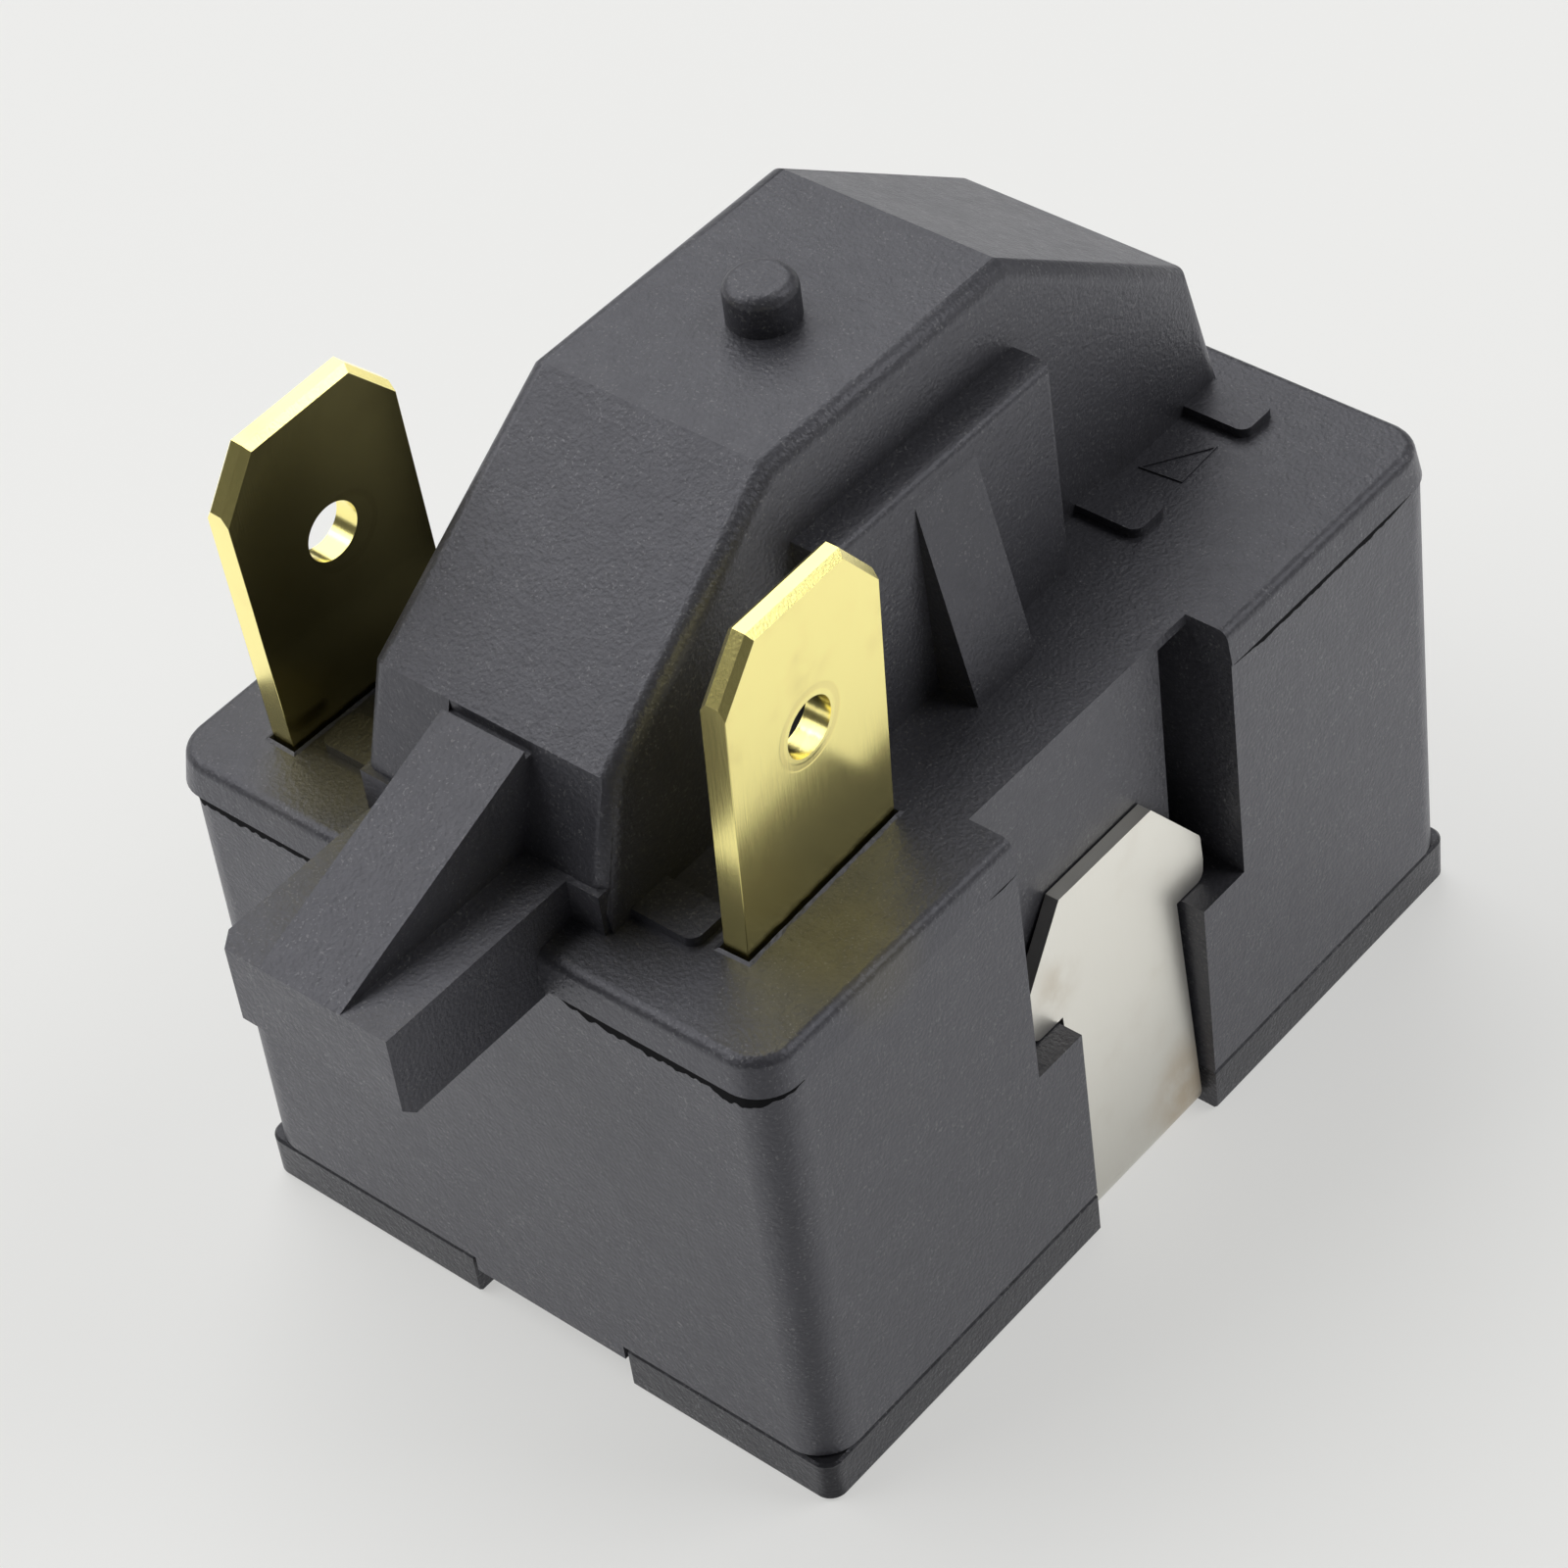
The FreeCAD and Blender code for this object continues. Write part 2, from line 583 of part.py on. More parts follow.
def make_strap():
    """Sheet strap under the base with a barbed leg up each side wall."""
    r, t = strap_bend_r, strap_t
    k = math.sqrt(0.5)
    cx = strap_x_low - r
    outer = [V(0, 0, 0), V(cx, 0, 0), V(strap_x_low, 0, r), V(strap_x_high, 0, strap_tip_z)]
    inner = [V(strap_x_high - t, 0, strap_tip_z), V(strap_x_low - t, 0, r), V(cx, 0, t), V(0, 0, t)]
    edges = [
        Part.makeLine(outer[0], outer[1]),
        Part.Arc(outer[1], V(cx + r * k, 0, r - r * k), outer[2]).toShape(),
        Part.makeLine(outer[2], outer[3]),
        Part.makeLine(outer[3], inner[0]),
        Part.makeLine(inner[0], inner[1]),
        Part.Arc(inner[1], V(cx + (r - t) * k, 0, r - (r - t) * k), inner[2]).toShape(),
        Part.makeLine(inner[2], inner[3]),
        Part.makeLine(inner[3], outer[0]),
    ]
    sheet = Part.Face(Part.Wire(edges)).extrude(V(0, 2 * barb_half_w, 0))
    sheet.translate(V(0, mid_y - barb_half_w, 0))
    half = [(strap_half_w, -1), (strap_half_w, barb_z0), (barb_half_w - 0.1, barb_z0), (barb_half_w, barb_z1),
            (barb_half_w, barb_z2), (barb_flat_half_w, strap_tip_z), (barb_flat_half_w, strap_tip_z + 1)]
    outline = [(mid_y + y, z) for y, z in half] + [(mid_y - y, z) for y, z in half[::-1]]
    face = prism_x(outline, -1, body_w)
    tips = [e for e in face.Edges
            if abs(e.Vertexes[0].Point.x - e.Vertexes[1].Point.x) > 1
            and barb_z0 - 0.1 < e.CenterOfMass.z < strap_tip_z - 0.5
            and abs(e.CenterOfMass.y - mid_y) > barb_half_w - 0.3]
    face = face.makeFillet(barb_r, tips)
    leg = sheet.common(face)
    return joined([leg, leg.mirror(V(0, 0, 0), V(1, 0, 0))])


def make_disc():
    """Round PTC disc standing on edge between the springs."""
    at = V(hump_x - disc_t / 2, disc_y, disc_z)
    return Part.makeCylinder(disc_r, disc_t, at, V(1, 0, 0))


nodes = {
    "housing": make_housing(),
    "base_cover": make_cover(),
    "retaining_strap": make_strap(),
    "terminal_blade_left": blade(left),
    "terminal_blade_right": blade(right),
    "pin_socket_left": pin_socket(left),
    "pin_socket_right": pin_socket(right),
    "contact_spring_left": contact_spring(left),
    "contact_spring_right": contact_spring(right),
    "terminal_rivets": Part.makeCompound([rivet(left), rivet(right)]),
    "ptc_disc": make_disc(),
}

os.makedirs("parts", exist_ok=True)
for name, shape in nodes.items():
    shape.exportStep("parts/" + name + ".step")
    print(name, len(shape.Solids), "solid", shape.isValid(), round(shape.Volume, 2))
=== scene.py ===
"""Looks of a compressor start relay: black moulded housing, brass tabs, steel strap."""
import json
import logging
import math
from dataclasses import dataclass, field
from enum import Enum
from typing import Any, Callable, Dict, List, Sequence, Tuple, Union

import bmesh
import bpy
from mathutils import Matrix, Vector, noise

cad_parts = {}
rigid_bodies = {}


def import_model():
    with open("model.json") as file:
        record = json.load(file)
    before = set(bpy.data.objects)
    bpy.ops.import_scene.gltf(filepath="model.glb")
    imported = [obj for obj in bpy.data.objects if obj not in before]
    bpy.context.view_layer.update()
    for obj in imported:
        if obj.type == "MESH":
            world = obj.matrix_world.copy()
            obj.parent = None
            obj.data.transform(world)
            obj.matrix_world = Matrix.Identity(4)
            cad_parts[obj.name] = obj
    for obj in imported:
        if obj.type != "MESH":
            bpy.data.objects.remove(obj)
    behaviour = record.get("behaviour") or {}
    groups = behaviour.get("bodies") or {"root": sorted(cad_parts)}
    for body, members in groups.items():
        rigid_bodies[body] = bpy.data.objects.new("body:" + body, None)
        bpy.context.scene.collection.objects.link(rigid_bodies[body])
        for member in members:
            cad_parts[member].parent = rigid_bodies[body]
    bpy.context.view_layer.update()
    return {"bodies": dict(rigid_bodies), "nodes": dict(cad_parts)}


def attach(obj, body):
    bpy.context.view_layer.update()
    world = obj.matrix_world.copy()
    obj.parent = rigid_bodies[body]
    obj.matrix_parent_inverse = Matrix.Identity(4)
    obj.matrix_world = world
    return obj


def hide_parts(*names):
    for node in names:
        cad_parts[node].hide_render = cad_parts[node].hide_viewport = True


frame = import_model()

LOG = logging.getLogger("start_relay")
MM = 0.001
Colour = Tuple[float, float, float]
Point = Tuple[float, float, float]
BLACK: Colour = (0.0, 0.0, 0.0)
TOP = 17.46              # height of the top face, in millimetres
PARTING = 16.3           # height of the parting line
WALL_X = 10.8            # side walls just below the parting line
WALL_Y = 14.8            # front and rear walls at the same height
CORNER = 1.3             # radius of the body's upright corners
ALONG = 0.9              # share of an edge's run from which it counts as along an axis
FLAT_BONUS = 1000.0      # how much more a broad face weighs than a strip of its size
SLIVER = 1e-5            # weight below which a face takes the normals round it
BODY = next(iter(frame["bodies"]))


class Shown(Enum):
    """CAD nodes that are seen from outside."""

    HOUSING = "housing"
    COVER = "base_cover"
    STRAP = "retaining_strap"
    BLADE_LEFT = "terminal_blade_left"
    BLADE_RIGHT = "terminal_blade_right"


class Hidden(Enum):
    """CAD nodes that lie inside the housing."""

    SOCKET_LEFT = "pin_socket_left"
    SOCKET_RIGHT = "pin_socket_right"
    SPRING_LEFT = "contact_spring_left"
    SPRING_RIGHT = "contact_spring_right"
    RIVETS = "terminal_rivets"
    DISC = "ptc_disc"


class Wire:
    """One output in a shader graph; sums and products of it add Math nodes."""

    def __init__(self, graph: "Graph", socket: bpy.types.NodeSocket) -> None:
        """Keep the graph and the socket together."""
        self.graph = graph
        self.socket = socket

    def _math(self, operation: str, first: "Value", second: "Value") -> "Wire":
        """Result of one Math node."""
        return self.graph.add("ShaderNodeMath", {0: first, 1: second}, operation=operation)

    def __add__(self, other: "Value") -> "Wire":
        """Sum."""
        return self._math("ADD", self, other)

    __radd__ = __add__

    def __sub__(self, other: "Value") -> "Wire":
        """Difference."""
        return self._math("SUBTRACT", self, other)

    def __rsub__(self, other: "Value") -> "Wire":
        """Reflected difference, such as 1 - mask."""
        return self._math("SUBTRACT", other, self)

    def __mul__(self, other: "Value") -> "Wire":
        """Product."""
        return self._math("MULTIPLY", self, other)

    __rmul__ = __mul__

    def step(self, low: float, high: float) -> "Wire":
        """Smooth rise from 0 at low to 1 at high.

        Args:
            low: Value that gives 0.
            high: Value that gives 1; it may be the lower of the two.

        Returns:
            The rising value.
        """
        return self.graph.add("ShaderNodeMapRange", {"Value": self, "From Min": low, "From Max": high},
                              interpolation_type="SMOOTHSTEP")


Value = Union[Wire, float, Sequence[float]]


def scaled(colour: Colour, factor: float) -> Colour:
    """Colour made darker or lighter by a factor."""
    return tuple(factor * c for c in colour)


class Graph:
    """Node tree of one material, built by expressions."""

    def __init__(self, name: str) -> None:
        """Start an empty material with its output node."""
        self.material = bpy.data.materials.new(name)
        self.material.use_nodes = True
        self.tree = self.material.node_tree
        self.tree.nodes.clear()
        self.out = self.tree.nodes.new("ShaderNodeOutputMaterial")

    def add(self, kind: str, inputs: Dict[Union[int, str], Value], output: Union[int, str] = 0,
            **settings: Any) -> Wire:
        """Add one node.

        Args:
            kind: Node type.
            inputs: Value or link of each socket, by its name or number.
            output: Socket that is returned, by its name or number.
            settings: Properties of the node, set before its sockets.

        Returns:
            The chosen output.
        """
        node = self.tree.nodes.new(kind)
        for key, value in settings.items():
            setattr(node, key, value)
        for key, value in inputs.items():
            if isinstance(value, Wire):
                self.tree.links.new(value.socket, node.inputs[key])
            elif isinstance(value, (int, float)) or node.inputs[key].type != "RGBA":
                node.inputs[key].default_value = value
            else:
                node.inputs[key].default_value = (*value, 1.0)
        return Wire(self, node.outputs[output])

    def place(self) -> Wire:
        """Object coordinates in millimetres."""
        at = self.add("ShaderNodeTexCoord", {}, "Object")
        return self.add("ShaderNodeVectorMath", {0: at, 1: (1 / MM,) * 3}, operation="MULTIPLY")

    def axes(self, at: Wire) -> Tuple[Wire, Wire, Wire]:
        """Separate x, y and z of a vector."""
        node = self.add("ShaderNodeSeparateXYZ", {0: at}).socket.node
        return tuple(Wire(self, node.outputs[i]) for i in range(3))

    def noise(self, at: Wire, size: float, detail: float = 2.0, stretch: Point = (1, 1, 1)) -> Wire:
        """Cloudy value from 0 to 1.

        Args:
            at: Coordinates in millimetres.
            size: Size of one cloud in millimetres.
            detail: Octaves.
            stretch: How much longer the clouds are along each axis.

        Returns:
            The cloudy value.
        """
        shrink = tuple(1 / (size * longer) for longer in stretch)
        shrunk = self.add("ShaderNodeVectorMath", {0: at, 1: shrink}, operation="MULTIPLY")
        return self.add("ShaderNodeTexNoise", {"Vector": shrunk, "Scale": 1.0, "Detail": detail}, "Fac")

    def mix(self, factor: Value, first: Value, second: Value) -> Wire:
        """Colour between two colours.

        Args:
            factor: 0 gives the first, 1 the second.
            first: First colour.
            second: Second colour.

        Returns:
            The mixed colour.
        """
        return self.add("ShaderNodeMix", {0: factor, 6: first, 7: second}, 2, data_type="RGBA")

    def near(self, at: Wire, middle: Point, full: float, none: float) -> Wire:
        """Mask round one point.

        Args:
            at: Coordinates in millimetres.
            middle: Centre of the mask in millimetres.
            full: Distance up to which the mask is 1.
            none: Distance from which it is 0.

        Returns:
            The mask.
        """
        gap = self.add("ShaderNodeVectorMath", {0: at, 1: middle}, "Value", operation="DISTANCE")
        return gap.step(none, full)

    def bump(self, height: Wire, depth: float) -> Wire:
        """Normal roughened by a height, which depth turns into millimetres."""
        return self.add("ShaderNodeBump", {"Height": height, "Distance": depth * MM, "Strength": 1.0})

    def surface(self, **sockets: Value) -> bpy.types.Material:
        """Close the graph with a Principled shader.

        Args:
            sockets: Socket values by name, with _ for a space.

        Returns:
            The finished material.
        """
        named = {key.replace("_", " "): value for key, value in sockets.items()}
        shader = self.add("ShaderNodeBsdfPrincipled", named)
        self.tree.links.new(shader.socket, self.out.inputs["Surface"])
        return self.material


@dataclass(frozen=True)
class MouldedPlastic:
    """Matte black plastic with a fine mineral grain.

    Attributes:
        name: Name of the material.
        colour, speck: Colours of the plastic and of its flecks.
        tab_reflection_colour: Colour of the brass tabs' reflection in the top face, which is painted on.
        roughness: Middle roughness.
        grain: Height of the grain in millimetres.
        ior, tint: Strength and colour of the shine.
        tab_reflection_spots: Middle and reach in millimetres of each painted reflection.
        cloud_size, mottle_size, grain_size, fleck_size, patch_size: Sizes of the clouds, the mottle,
            the grain, the flecks and their patches, in millimetres.
        fleck_amount, grain_amount: Strength of the flecks and of the grain's light parts.
        tones: Factors of the colour in the dark and the light clouds and in the grain.
        rough_spread: How much the mottle and the clouds change the roughness.
    """

    name: str
    colour: Colour = (0.029, 0.029, 0.034)
    speck: Colour = (0.16, 0.16, 0.16)
    tab_reflection_colour: Colour = (0.070, 0.062, 0.036)
    roughness: float = 0.45
    grain: float = 0.027
    ior: float = 1.64
    tint: Colour = (0.92, 0.92, 1.0)
    tab_reflection_spots: Tuple[Tuple[Point, float], ...] = (((-6.4, -12.4, 17.4), 2.9), ((9.6, -10.0, 17.2), 2.4))
    cloud_size: float = 3.5
    mottle_size: float = 0.5
    grain_size: float = 0.13
    fleck_size: float = 0.09
    patch_size: float = 0.8
    fleck_amount: float = 0.55
    grain_amount: float = 0.45
    tones: Tuple[float, float, float] = (0.93, 1.12, 1.6)
    rough_spread: Tuple[float, float] = (0.12, 0.08)

    def build(self) -> bpy.types.Material:
        """Make the material."""
        g = Graph(self.name)
        at = g.place()
        cloud = g.noise(at, self.cloud_size, 3)
        mottle = g.noise(at, self.mottle_size, 3)
        grain = g.noise(at, self.grain_size, 3)
        patch = g.noise(at, self.patch_size, 2).step(0.32, 0.62)
        fleck = g.noise(at, self.fleck_size, 1).step(0.60, 0.72) * patch
        dark, light, grained = (scaled(self.colour, factor) for factor in self.tones)
        tone = g.mix(cloud.step(0.3, 0.75), dark, light)
        tone = g.mix(grain.step(0.30, 0.70) * self.grain_amount, tone, grained)
        # Painted reflection of the brass tabs on the top face beside their feet.
        for middle, reach in self.tab_reflection_spots:
            spot = g.near(at, middle, 0.35 * reach, reach) * (mottle * 0.5 + 0.55)
            tone = g.mix(spot, tone, self.tab_reflection_colour)
        tone = g.mix(fleck * self.fleck_amount, tone, self.speck)
        of_mottle, of_cloud = self.rough_spread
        rough = self.roughness + (mottle - 0.5) * of_mottle + (cloud - 0.5) * of_cloud
        normal = g.bump(mottle * 0.6 + grain, self.grain)
        return g.surface(Base_Color=tone, Roughness=rough, Normal=normal, IOR=self.ior,
                         Specular_Tint=self.tint)


@dataclass(frozen=True)
class SheetMetal:
    """Rolled sheet with fine lines along one axis and spots of tarnish.

    Attributes:
        name: Name of the material.
        colour, stain: Colours of the metal and of its tarnish.
        roughness: Middle roughness.
        lines: How much longer the rolled lines are along each axis.
        stain_amount: Strength of the tarnish all over.
        depth: Height of the lines in millimetres.
        spots: Middle and reach in millimetres, and strength, of each tarnished spot.
        rings: Middle, inner and outer radius in millimetres of each worn ring.
        darker_foot: Strength of the darker and rougher lower part, set by the photo's brightness.
        foot: Heights in millimetres between which that part fades out.
        line_size, cloud_size: Width of the lines and size of the clouds in millimetres.
        ring_fade: Width in millimetres of each ring's soft rim.
        ring_tint, ring_rise: How much a ring takes the tarnish's colour, and its depth in lines.
        foot_tone, foot_rough: Factor of the colour and extra roughness at the darker foot.
        rough_spread: How much the lines and the clouds change the roughness.
    """

    name: str
    colour: Colour
    stain: Colour
    roughness: float
    lines: Point = (1.0, 1.0, 30.0)
    stain_amount: float = 0.25
    depth: float = 0.002
    spots: Tuple[Tuple[Point, float, float], ...] = ()
    rings: Tuple[Tuple[Point, float, float], ...] = ()
    darker_foot: float = 0.0
    foot: Tuple[float, float] = (0.0, 12.0)
    line_size: float = 0.06
    cloud_size: float = 1.6
    ring_fade: float = 0.08
    ring_tint: float = 0.22
    ring_rise: float = 1.5
    foot_tone: float = 0.42
    foot_rough: float = 0.08
    rough_spread: Tuple[float, float] = (0.08, 0.06)

    def build(self) -> bpy.types.Material:
        """Make the material."""
        g = Graph(self.name)
        at = g.place()
        lines = g.noise(at, self.line_size, 3, self.lines)
        cloud = g.noise(at, self.cloud_size, 4)
        tone = g.mix(cloud.step(0.5, 0.8) * self.stain_amount, self.colour, self.stain)
        of_lines, of_cloud = self.rough_spread
        rough = self.roughness + (lines - 0.5) * of_lines + (cloud - 0.5) * of_cloud
        if self.darker_foot:
            # Darker and rougher towards the bottom.
            low = g.axes(at)[2].step(self.foot[1], self.foot[0])
            tone = g.mix(low * self.darker_foot, tone, scaled(self.colour, self.foot_tone))
            rough = rough + low * self.foot_rough
        for middle, reach, amount in self.spots:
            spot = g.near(at, middle, 0.2 * reach, reach) * cloud.step(0.30, 0.62) * amount
            tone = g.mix(spot, tone, self.stain)
            rough = rough + spot * 0.12
        height = lines
        for middle, inner, outer in self.rings:
            disc = g.near(at, middle, outer - self.ring_fade, outer)
            ring = disc * (1.0 - g.near(at, middle, inner, inner + self.ring_fade))
            tone = g.mix(ring * self.ring_tint, tone, self.stain)
            height = height - ring * self.ring_rise
        normal = g.bump(height, self.depth)
        return g.surface(Base_Color=tone, Metallic=1.0, Roughness=rough, Normal=normal)


@dataclass(frozen=True)
class Plain:
    """Quiet finish with faint clouds.

    Attributes:
        name: Name of the material.
        colour: Its colour.
        metallic: 1 for a metal, otherwise 0.
        roughness: Middle roughness.
        shine: Specular level.
        cloud_size: Size of the clouds in millimetres.
    """

    name: str
    colour: Colour
    metallic: float
    roughness: float
    shine: float = 0.5
    cloud_size: float = 0.8

    def build(self) -> bpy.types.Material:
        """Make the material."""
        g = Graph(self.name)
        cloud = g.noise(g.place(), self.cloud_size, 3)
        tone = g.mix(cloud, self.colour, scaled(self.colour, 0.8))
        return g.surface(Base_Color=tone, Metallic=self.metallic, Specular_IOR_Level=self.shine,
                         Roughness=self.roughness + (cloud - 0.5) * 0.1)


def finish_mesh(bm: bmesh.types.BMesh, name: str, material: bpy.types.Material) -> bpy.types.Object:
    """Turn a bmesh into a piece that rides on the body.

    Args:
        bm: Finished mesh, in metres; it is freed.
        name: Name of the piece.
        material: Its material.

    Returns:
        The piece.
    """
    mesh = bpy.data.meshes.new(name)
    bm.to_mesh(mesh)
    bm.free()
    piece = bpy.data.objects.new(name, mesh)
    bpy.context.scene.collection.objects.link(piece)
    mesh.materials.append(material)
    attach(piece, BODY)
    LOG.info("%s: %d faces", name, len(mesh.polygons))
    return piece


def crisp_normals(mesh: bpy.types.Mesh, limit: float = 36.0, broad: float = 0.35) -> None:
    """Keep broad faces flat and let the narrow strips between them blend.

    Args:
        mesh: Mesh whose corner normals are set.
        limit: Faces that turn by more degrees than this don't blend.
        broad: Area over outline length, in millimetres, from which a face is broad.
    """
    polygons = mesh.polygons
    points = [vert.co for vert in mesh.vertices]
    around: List[List[int]] = [[] for _ in mesh.vertices]
    weights, flat = [], []
    for polygon in polygons:
        ring = list(polygon.vertices)
        outline = sum((points[a] - points[b]).length for a, b in zip(ring, ring[1:] + ring[:1]))
        flat.append(polygon.area > broad * MM * outline)
        weights.append((polygon.area / MM ** 2) ** 2 * (FLAT_BONUS if flat[-1] else 1.0) + 1e-12)
        for vert in ring:
            around[vert].append(polygon.index)
    normals = []
    for polygon in polygons:
        own = polygon.normal.copy()
        cosine = -1.0 if weights[polygon.index] < SLIVER else math.cos(math.radians(limit))
        for vert in polygon.vertices:
            total = own * weights[polygon.index]
            if not flat[polygon.index]:
                for index in around[vert]:
                    if index != polygon.index and polygons[index].normal.dot(own) > cosine:
                        total += polygons[index].normal * weights[index]
            normals.append(total.normalized() if total.length > 0 else own)
    mesh.normals_split_custom_set([tuple(normal) for normal in normals])


Chooser = Callable[[bmesh.types.BMEdge], bool]


@dataclass
class Rounding:
    """One pass of edge rounding.

    Attributes:
        width: Width in millimetres.
        chosen: Says which edges it takes.
        segments: Facets across one rounding.
        least_angle: Degrees from which an edge counts as sharp.
        shortest: Length in millimetres from which an edge is taken.
    """

    width: float
    chosen: Chooser = field(default=lambda edge: True)
    segments: int = 3
    least_angle: float = 28.0
    shortest: float = 0.15

    def apply(self, bm: bmesh.types.BMesh) -> None:
        """Round the convex edges that are sharp enough and chosen."""
        sharp = []
        for edge in bm.edges:
            if len(edge.link_faces) != 2 or edge.calc_length() < self.shortest * MM:
                continue
            if edge.calc_face_angle() < math.radians(self.least_angle) or not edge.is_convex:
                continue
            if self.chosen(edge):
                sharp.append(edge)
        bmesh.ops.bevel(bm, geom=sharp, offset=self.width * MM, offset_type="OFFSET",
                        segments=self.segments, profile=0.5, affect="EDGES", clamp_overlap=True,
                        material=-1)


@dataclass
class EdgedNode:
    """A CAD node whose sharp edges are given their small rounding.

    Attributes:
        node: The CAD node.
        name: Name of the piece that replaces it.
        slot: Material slot of the record.
        roundings: Passes of edge rounding, in their order.
        merge: Distance in millimetres within which corners of the roundings are joined.
        weld: The same for the corners of the node's mesh.
        flat_angle: Degrees up to which neighbouring facets count as one face.
    """

    node: Shown
    name: str
    # slot: Material slot of the record; not used.
    slot: str
    roundings: Sequence[Rounding]
    merge: float = 0.0
    weld: float = 0.002
    flat_angle: float = 0.4

    def build(self, material: bpy.types.Material) -> bpy.types.Object:
        """Make the rounded piece in the node's place.

        Args:
            material: Finish of the piece.

        Returns:
            The piece that replaces the node.
        """
        bm = bmesh.new()
        bm.from_mesh(frame["nodes"][self.node.value].data)
        bmesh.ops.remove_doubles(bm, verts=bm.verts, dist=self.weld * MM)
        bmesh.ops.dissolve_limit(bm, angle_limit=math.radians(self.flat_angle), verts=bm.verts,
                                 edges=bm.edges)
        for rounding in self.roundings:
            rounding.apply(bm)
        if self.merge:
            bmesh.ops.remove_doubles(bm, verts=bm.verts, dist=self.merge * MM)
        for face in bm.faces:
            face.smooth = True
        piece = finish_mesh(bm, self.name, material)
        crisp_normals(piece.data)
        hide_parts(self.node.value)
        return piece


def centre_mm(edge: bmesh.types.BMEdge) -> Vector:
    """Middle of an edge in millimetres."""
    return (edge.verts[0].co + edge.verts[1].co) / (2 * MM)


def along_mm(edge: bmesh.types.BMEdge) -> Vector:
    """Run of an edge in millimetres."""
    return (edge.verts[1].co - edge.verts[0].co) / MM


def hump_fold(edge: bmesh.types.BMEdge, above: float = 21.5, middle_x: float = -0.18, reach: float = 4.6,
              least: float = 2.0) -> bool:
    """True for the folds that run across the hump.

    Args:
        edge: The edge.
        above: Height from which an edge belongs to the hump's upper part, in millimetres.
        middle_x: Middle of the hump across.
        reach: Farthest from it that a fold's middle lies.
        least: Shortest fold.

    Returns:
        Whether it is such a fold.
    """
    middle, run = centre_mm(edge), along_mm(edge)
    across = abs(run.x) > ALONG * run.length and run.length > least
    return middle.z > above and abs(middle.x - middle_x) < reach and across


def not_parting(edge: bmesh.types.BMEdge, near: float = 0.06) -> bool:
    """True away from the parting line, whose edges stay crisp."""
    return abs(centre_mm(edge).z - PARTING) > near


def tab_long_edge(edge: bmesh.types.BMEdge, above: float = 17.4, least: float = 4.0) -> bool:
    """True for the long upright edges of a tab."""
    middle, run = centre_mm(edge), along_mm(edge)
    return middle.z > above and abs(run.z) > ALONG * run.length and run.length > least


@dataclass
class SlotLip:
    """Low moulded burr round the foot of one tab.

    Attributes:
        name: Name of the piece.
        corner: Place of the tab's foot corner at -Y and +X, in millimetres.
        turn: Degrees that the tab is turned about the vertical.
        size: The tab's thickness and width in millimetres.
        inner, outer: Distances from the tab to the burr's two edges.
        height: Height above the top face.
        sunk: Depth of its foot below the top face.
        cuts: Steps along each long side.
        wave, ripple: Lengths of the coarse and the fine unevenness in millimetres.
        uneven: Height of the unevenness.
        rim_sunk: Depth of the burr's outer rim below the top face.
        sway: Shares by which the outer and the inner rim wander across.
    """

    name: str
    corner: Tuple[float, float]
    turn: float
    size: Tuple[float, float] = (0.8, 6.3)
    inner: float = 0.035
    outer: float = 0.22
    height: float = 0.05
    sunk: float = 0.05
    cuts: int = 40
    wave: float = 0.7
    ripple: float = 0.2
    uneven: float = 0.05
    rim_sunk: float = 0.02
    sway: Tuple[float, float] = (0.16, 0.04)

    def is_outside(self, place: Vector) -> bool:
        """True for the burr's outer rim, with the tab's middle at the origin."""
        reach = 0.6 * self.outer
        return (abs(place.x) > (self.size[0] / 2 + reach) * MM
                or abs(place.y) > (self.size[1] / 2 + reach) * MM)

    def build(self, material: bpy.types.Material) -> bpy.types.Object:
        """Make the burr.

        Args:
            material: Finish of the housing.

        Returns:
            The burr.
        """
        bm = bmesh.new()
        bmesh.ops.create_grid(bm, x_segments=1, y_segments=1, size=0.5)
        wide = (self.size[0] + 2 * self.outer, self.size[1] + 2 * self.outer, 1.0)
        bmesh.ops.scale(bm, verts=bm.verts, vec=Vector(wide) * MM)
        rim = bmesh.ops.inset_region(bm, faces=bm.faces[:], thickness=(self.outer - self.inner) * MM,
                                     use_boundary=True)
        middle = [face for face in bm.faces if face not in rim["faces"]]
        bmesh.ops.delete(bm, geom=middle, context="FACES")
        long_edges = [edge for edge in bm.edges if edge.calc_length() > 3 * MM]
        bmesh.ops.subdivide_edges(bm, edges=long_edges, cuts=self.cuts, use_grid_fill=True)
        raised = bmesh.ops.extrude_face_region(bm, geom=bm.faces[:])
        top = [item for item in raised["geom"] if isinstance(item, bmesh.types.BMVert)]
        bmesh.ops.translate(bm, verts=top, vec=(0, 0, (self.height + self.sunk) * MM))
        for vert in top:
            coarse = noise.noise(vert.co / (self.wave * MM))
            fine = noise.noise(vert.co / (self.ripple * MM))
            wobble = coarse * 0.6 + fine * 0.4
            outside = self.is_outside(vert.co)
            vert.co.z += (-self.height - self.rim_sunk if outside else self.uneven * wobble) * MM
            vert.co.x *= 1.0 + self.sway[0 if outside else 1] * wobble
        place = Matrix.Translation(Vector((self.corner[0], self.corner[1], TOP - self.sunk)) * MM)
        place = place @ Matrix.Rotation(math.radians(self.turn), 4, "Z")
        place = place @ Matrix.Translation(Vector((-self.size[0] / 2, self.size[1] / 2, 0)) * MM)
        bmesh.ops.transform(bm, matrix=place, verts=bm.verts)
        bmesh.ops.recalc_face_normals(bm, faces=bm.faces)
        return finish_mesh(bm, self.name, material)


